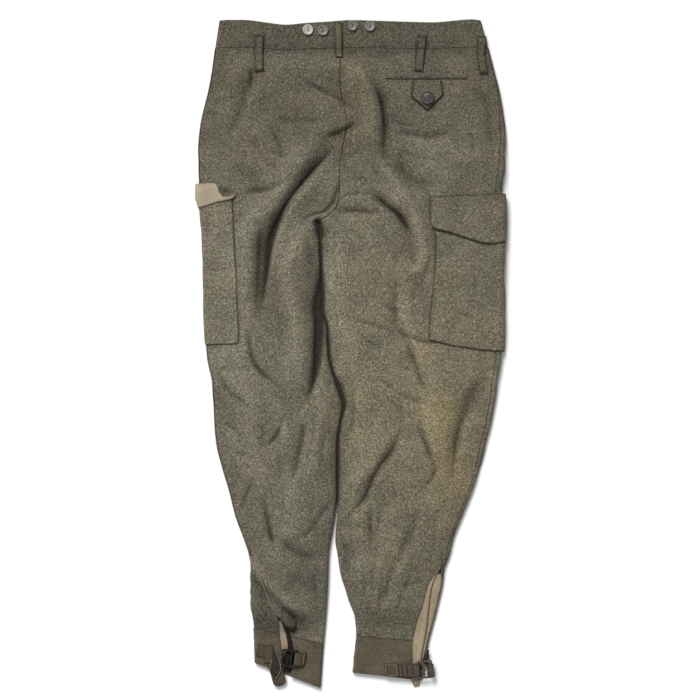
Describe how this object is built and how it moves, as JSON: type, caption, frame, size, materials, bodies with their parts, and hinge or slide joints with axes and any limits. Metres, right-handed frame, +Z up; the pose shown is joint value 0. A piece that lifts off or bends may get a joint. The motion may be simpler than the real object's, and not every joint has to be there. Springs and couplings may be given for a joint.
{
  "type": "field trousers",
  "caption": "Wool field trousers laid flat, back uppermost, with cargo pockets, belt loops, brace buttons, and canvas ankle cuffs with gussets, straps and buckles.",
  "frame": {"origin": "centre of the footprint, on the surface the trousers lie on", "axes": "+Y towards the waist, +Z up through the back of the trousers, +X to the right of someone looking down at the back"},
  "size_m": [0.4979, 1.07, 0.0216],
  "materials": {
    "wool": "matt, heathered wool",
    "canvas": "matt canvas",
    "cotton": "matt cotton lining",
    "webbing": "matt webbing",
    "steel": "dark worn metal",
    "pale_button": "satin",
    "grey_button": "satin"
  },
  "bodies": {
    "garment": {"back_left": "wool", "front_left": "wool", "waistband_left": "wool", "back_right": "wool", "front_right": "wool", "waistband_right": "wool", "cargo_pocket_left": "wool", "cargo_pocket_right": "wool", "cargo_flap_right": "wool", "seat_pocket_tab": "wool", "seat_pocket_welt": "wool", "belt_loop_left": "wool", "belt_loop_centre": "wool", "belt_loop_right": "wool", "belt_loop_side": "wool", "cuff_left": "canvas", "cuff_right": "canvas", "gusset_left": "cotton", "gusset_right": "cotton", "cargo_flap_left": "cotton", "ankle_strap_back_right": "webbing", "ankle_strap_front_right": "webbing", "ankle_strap_back_left": "webbing", "ankle_strap_front_left": "webbing", "ankle_keeper_left": "webbing", "ankle_buckle_right": "steel", "brace_button_1": "pale_button", "brace_button_2": "grey_button", "brace_button_3": "grey_button", "brace_button_4": "grey_button", "seat_pocket_button": "grey_button"},
    "left_buckle": {"ankle_buckle_left": "steel"}
  },
  "joints": [
    {"name": "left_buckle_hinge", "type": "hinge", "parent": "garment", "child": "left_buckle", "pos_m": [-0.088, -0.4875, 0.00945], "axis": [0.0995, 0.995, 0], "range_deg": [0, 140]}
  ]
}
